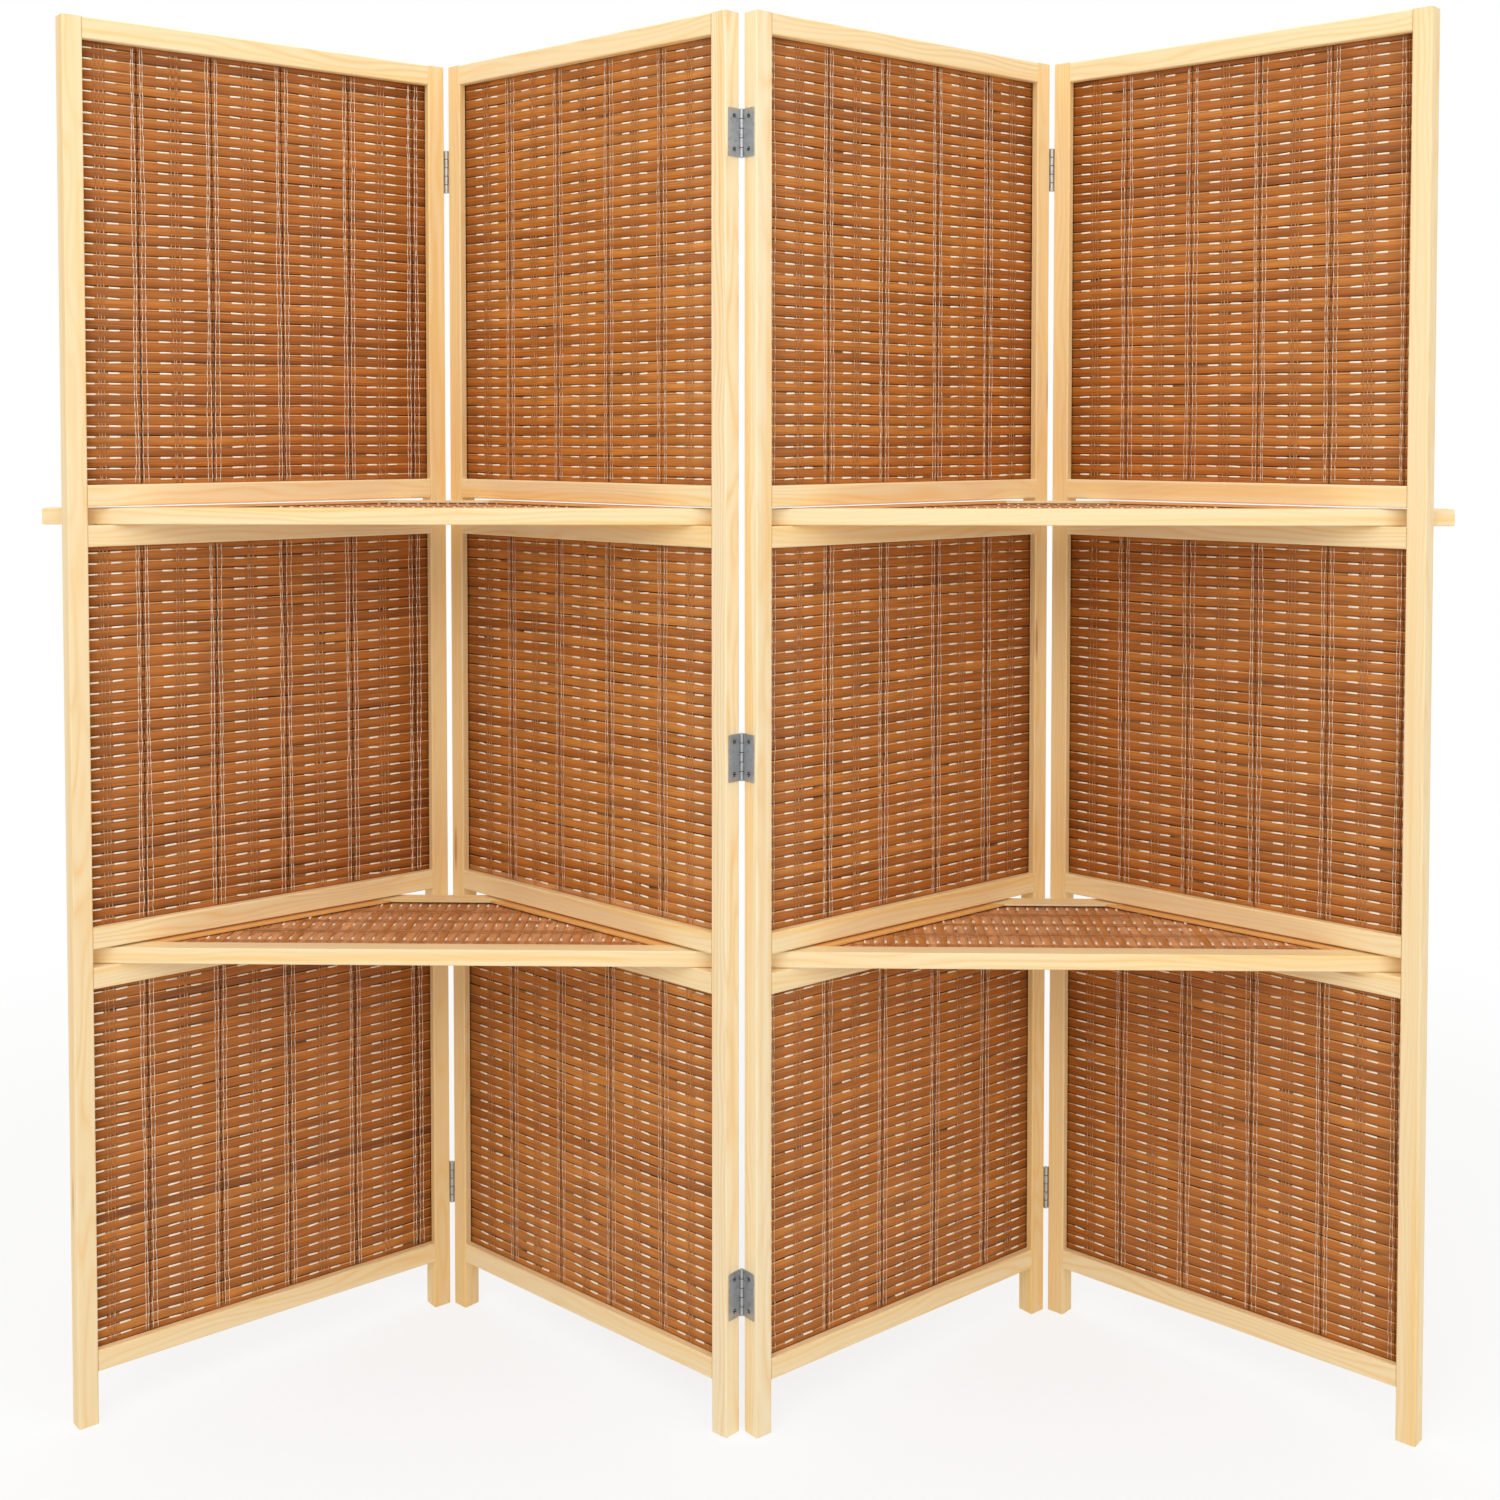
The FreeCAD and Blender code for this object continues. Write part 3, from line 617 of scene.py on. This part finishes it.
# Shelf frames: a long front rail, two slanting side rails and a back rail of pine, tenoned together.
# The grain follows each rail. The side rails that lie in the slots are painted a deeper orange, as painted
# shade with warm bounce light in the slots.

SHELF_BACK_RAIL_Y = 0.0870
PINE_SLOT_SHADE = (0.86, 0.44, 0.13, 1)
pine_across = pine("pine_across", (0, 0, 0), PINE_PALE)


def pine_round_shelf(name, valley_x):
    """Pine that follows the side rails on either side of the valley, and the back rail behind them; the side
    rails get painted slot shade.
    """
    material, wire = new_material(name)
    place = object_place(wire)
    left, right = place.turned((0, 0, -FOLD_ANGLE)), place.turned((0, 0, FOLD_ANGLE))
    at_back = place.part(1) > SHELF_BACK_RAIL_Y
    grain = wire.blend_places(left, place.part(0) > valley_x, right)
    pine_surface(wire, wire.blend_places(grain, at_back, place), wire.blend(PINE_SLOT_SHADE, at_back, PINE_PALE))
    return material


for side, valley_x in VALLEY_X.items():
    pine_shelf = pine_round_shelf(f"pine_shelf_{side}", valley_x)
    for level in ("lower", "upper"):
        dress(f"{level}_{side}_shelf_front_rail", pine_across)
        dress(f"{level}_{side}_shelf_frame", pine_shelf)


# Hinges: butt hinges of zinc-plated sheet steel. Their leaves lie on the end faces of the posts
# and are rolled round steel pins into five knuckles.

STEEL_GREY = (0.50, 0.505, 0.51, 1)
STEEL_DARK = (0.30, 0.30, 0.305, 1)
ROLLING_SCALE = (1800, 1800, 60)
BLOTCH_SCALE, BLOTCH_RANGE, BLOTCH_SHARE = (160, 160, 160), (0.45, 0.75), 0.5


def hinge_steel():
    """Plated steel with faint rolling lines and duller blotches."""
    material, wire = new_material("hinge_steel")
    place = object_place(wire)
    lines = place.scaled(ROLLING_SCALE).noise(2.0)
    blotch = place.scaled(BLOTCH_SCALE).noise(2.0).step(*BLOTCH_RANGE)
    surface(wire, {"Base Color": wire.blend(STEEL_GREY, blotch * BLOTCH_SHARE, STEEL_DARK),
                   "Metallic": 1.0, "Roughness": 0.34 + lines * 0.2, "Normal": lines.bump(0.1, 0.0002)})
    return material


steel = hinge_steel()
for panel in SLANTS:
    dress(f"hinge_leaves_{panel}", steel)
for line in ("left", "middle", "right"):
    dress(f"{line}_line_pins", steel)


# Seams between the knuckles of each hinge, where the rolled ends of its two leaves meet, painted dark as the
# shade in the gaps between the knuckles.
# Each is a thin steel collar, just proud of the barrel, that turns with the panel to the left of its line.

HINGE_LEVELS = {"outer": (0.170, 1.561), "middle": (0.170, 0.820, 1.561)}
HINGE_AXIS_OUT = {"outer": FRAME_DEPTH / 2 + HINGE_PROUD, "middle": -FRAME_DEPTH / 2 - HINGE_PROUD}
HINGE_AXIS_ALONG = PANEL_WIDTH + HINGE_GAP / 2
HINGE_HEIGHT = 0.057
KNUCKLES = 5
KNUCKLE_HEIGHT = HINGE_HEIGHT / KNUCKLES
KNUCKLE_RADIUS = 0.0024
COLLAR_PROUD = 0.00006
COLLAR_RADIUS = KNUCKLE_RADIUS + COLLAR_PROUD
COLLAR_HALF_HEIGHT = 0.00045
COLLAR_CORNERS = 16
HINGE_LINES = ((1, "left", "outer"), (2, "middle", "middle"), (3, "right", "outer"))
KNUCKLE_GAP_SHADE = (0.06, 0.055, 0.05, 1)
GAP_SHADE_MOTTLE_SCALE = (900, 900, 900)


def collar_bars(kind):
    """Collars: a circle carried a short way up the hinge axis, at each seam of each hinge of a line."""
    rises = (np.arange(1, KNUCKLES) - KNUCKLES / 2) * KNUCKLE_HEIGHT
    seams = (np.array(HINGE_LEVELS[kind])[:, None] + rises).ravel()
    turn = (np.arange(COLLAR_CORNERS) * 2 * math.pi / COLLAR_CORNERS)[None, None, :]
    up = seams[:, None, None] + COLLAR_HALF_HEIGHT * np.array([-1, 1])[None, :, None]
    along = HINGE_AXIS_ALONG + COLLAR_RADIUS * np.sin(turn)
    out = HINGE_AXIS_OUT[kind] + COLLAR_RADIUS * np.cos(turn)
    return carried(np.stack(np.broadcast_arrays(along, up, out), axis=-1))


def painted_gap_shade():
    """Dark steel, painted as the shade in the gaps between the knuckles, duller in patches."""
    material, wire = new_material("painted_gap_shade")
    shade_mottle = object_place(wire).scaled(GAP_SHADE_MOTTLE_SCALE).noise(1.0)
    surface(wire, {"Base Color": KNUCKLE_GAP_SHADE, "Metallic": 1.0, "Roughness": 0.35 + shade_mottle * 0.3})
    return material


gap_shade = painted_gap_shade()
for panel, line, kind in HINGE_LINES:
    bars = collar_bars(kind)
    new_piece(f"{line}_line_seams", f"panel_{panel}", panel_place(panel), [bars],
              np.ones(len(bars[0])), gap_shade)


# Screws of the hinges: two to a leaf, steel, with low domed heads and a cross recess.
# Each is turned from its point to the middle of its head, along the panel and into the post.

LEAF_WIDTH = 0.020
SCREW_OUT = {"outer": (FRAME_DEPTH - LEAF_WIDTH) / 2, "middle": (LEAF_WIDTH - FRAME_DEPTH) / 2}
SCREW_FROM_END = 0.009
SCREW_RISE = HINGE_HEIGHT / 2 - SCREW_FROM_END
PANEL_HINGES = {1: ((1, "outer"),), 2: ((-1, "outer"), (1, "middle")),
                3: ((-1, "middle"), (1, "outer")), 4: ((-1, "outer"),)}
SCREW_PROFILE = np.array([(0.0003, -0.0130), (0.0015, -0.0105), (0.0015, 0.0000), (0.0028, 0.0011),
                          (0.0028, 0.0014), (0.0024, 0.0017), (0.0018, 0.0019), (0.0015, 0.00195),
                          (0.0013, 0.0020), (0.0007, 0.0020), (0.0003, 0.0020)])
SCREW_CORNERS = 32
RECESS_RADIUS, RECESS_DEPTH, RECESS_ARM, RECESS_MIDDLE = 0.0020, 0.0009, 0.58, 0.0014
RECESS_ABOVE = 0.0015
SHADED_RIM_RADIUS = 0.0022
SCREW_BRIGHT = (0.80, 0.80, 0.79, 1)
SCREW_PAINTED_SHADE = (0.018, 0.018, 0.020, 1)


def screw_bars(panel, chance):
    """Screws: the profile turned about each axis, pressed in where an angle lies in an arm of the cross."""
    places = np.array([((side + 1) / 2 * PANEL_WIDTH, level + rise, SCREW_OUT[kind], side)
                       for side, kind in PANEL_HINGES[panel] for level in HINGE_LEVELS[kind]
                       for rise in (-SCREW_RISE, SCREW_RISE)])
    along, up, out, side = places.T[:, :, None, None]
    turn = (np.arange(SCREW_CORNERS) * 2 * math.pi / SCREW_CORNERS)[None, None, :]
    radius, height = SCREW_PROFILE.T[:, None, :, None]
    quarter = math.pi / 2
    arm = np.abs((turn - chance.uniform(0, quarter, (len(places), 1, 1))) % quarter - quarter / 2)
    in_cross = (arm < RECESS_ARM) | (radius < RECESS_MIDDLE)
    recess = (height > RECESS_ABOVE) & (radius < RECESS_RADIUS) & in_cross
    along = along + side * (height - RECESS_DEPTH * recess)
    up = up + radius * np.cos(turn)
    out = out + side * radius * np.sin(turn)
    rings = np.stack(np.broadcast_arrays(along, up, out), axis=-1)
    # Points in the cross recess and on the rim get tone 0, painted shade.
    return carried(rings), np.where(recess | (radius > SHADED_RIM_RADIUS), 0.0, 1.0)


def screw_steel():
    """Bright steel at tone 1, and at tone 0 dark and dull, painted shade in the recess and at the rim."""
    material, wire = new_material("screw_steel")
    _, tone = flat_and_tone(wire)
    surface(wire, {"Base Color": wire.blend(SCREW_PAINTED_SHADE, tone, SCREW_BRIGHT), "Metallic": tone,
                   "Roughness": 0.60 - tone * 0.32})
    return material


screws_finish = screw_steel()
for panel in SLANTS:
    bars, tones = screw_bars(panel, chance)
    screws = new_piece(f"screws_{panel}", f"panel_{panel}", panel_place(panel), [bars],
                       tones, screws_finish)
    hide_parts(f"hinge_screws_{panel}")


# The studio: a white floor that keeps the soft shadow of the screen, even light from the front
# and from above, and a camera at standing height.

FLOOR_HALF = 9.0
FLOOR_WHITE = 0.75
FLOOR_FADE = (1.1, 2.6)
FLOOR_CARD = (0.90, 0.94, 0.98, 1)
PAPER_WHITE = (1, 1, 1, 1)
AROUND_WARM, AROUND_STRENGTH = (1, 0.94, 0.84, 1), 0.66


def shown_rays(wire):
    """1 for rays that show the studio, from the camera, off a gloss or through glass, 0 for spread light."""
    camera_ray = wire.node("ShaderNodeLightPath", {}, {})
    either = camera_ray.sum("MAXIMUM", camera_ray, camera_ray.output("Is Glossy Ray"))
    return either.sum("MAXIMUM", either, camera_ray.output("Is Transmission Ray"))


floor_mesh = bpy.data.meshes.new("floor")
floor_corners = np.array([(-1, -1, 0), (1, -1, 0), (1, 1, 0), (-1, 1, 0)]) * FLOOR_HALF
floor_mesh.from_pydata(floor_corners.tolist(), [], [(0, 1, 2, 3)])
floor = bpy.data.objects.new("floor", floor_mesh)
bpy.context.scene.collection.objects.link(floor)
floor_material, wire = new_material("white_floor")
place = object_place(wire)
far = place.node("ShaderNodeVectorMath", {"operation": "LENGTH"}, {0: place}, "Value")
card = wire.node("ShaderNodeBsdfDiffuse", {}, {"Color": FLOOR_CARD})
glow = wire.node("ShaderNodeEmission", {}, {"Color": PAPER_WHITE, "Strength": 1.0})
white_share = (FLOOR_WHITE + far.step(*FLOOR_FADE) * (1 - FLOOR_WHITE)) * shown_rays(wire)
floor_surface = wire.node("ShaderNodeMixShader", {}, {0: white_share, 1: card, 2: glow})
wire.node("ShaderNodeOutputMaterial", {}, {"Surface": floor_surface})
floor_mesh.materials.append(floor_material)

world = bpy.data.worlds.new("studio")
world.use_nodes = True
world.node_tree.nodes.clear()
sky = Wire(world.node_tree)
around = sky.node("ShaderNodeBackground", {}, {"Color": AROUND_WARM, "Strength": AROUND_STRENGTH})
white = sky.node("ShaderNodeBackground", {}, {"Color": PAPER_WHITE, "Strength": 1.0})
backdrop = sky.node("ShaderNodeMixShader", {}, {0: shown_rays(sky), 1: around, 2: white})
sky.node("ShaderNodeOutputWorld", {}, {"Surface": backdrop})
bpy.context.scene.world = world


def area_light(name, place, aim, size, power):
    """A square lamp at a place, turned to its aim."""
    lamp = bpy.data.lights.new(name, "AREA")
    lamp.shape = "SQUARE"
    lamp.size = size
    lamp.energy = power
    made = bpy.data.objects.new(name, lamp)
    made.location = place
    gaze = np.array(aim) - np.array(place)
    tilt = math.atan2(np.hypot(gaze[0], gaze[1]), -gaze[2])
    made.rotation_euler = (tilt, 0, math.atan2(-gaze[0], gaze[1]))
    bpy.context.scene.collection.objects.link(made)


SCREEN_MIDDLE = (0, 0, 0.85)
area_light("key", place=(-1.3, -3.4, 3.3), aim=SCREEN_MIDDLE, size=2.6, power=47)
area_light("fill", place=(2.4, -3.2, 2.0), aim=SCREEN_MIDDLE, size=2.4, power=22)
area_light("overhead", place=(0, -0.3, 3.6), aim=(0, -0.3, 0), size=3.2, power=44)

CAMERA_PLACE = (0.0585, -2.2759, 1.2100)
CAMERA_YAW = math.radians(-1.312)
CAMERA_PITCH = math.radians(1.924)
CAMERA_SENSOR, CAMERA_LENS = 36, 42.848
CAMERA_SHIFT = -0.173
camera_data = bpy.data.cameras.new("camera")
camera_data.sensor_width = CAMERA_SENSOR
camera_data.lens = CAMERA_LENS
camera_data.shift_y = CAMERA_SHIFT
camera = bpy.data.objects.new("camera", camera_data)
camera.location = CAMERA_PLACE
camera.rotation_euler = (math.pi / 2 - CAMERA_PITCH, 0, -CAMERA_YAW)
bpy.context.scene.collection.objects.link(camera)
bpy.context.scene.camera = camera
bpy.context.scene.view_settings.view_transform = "Standard"
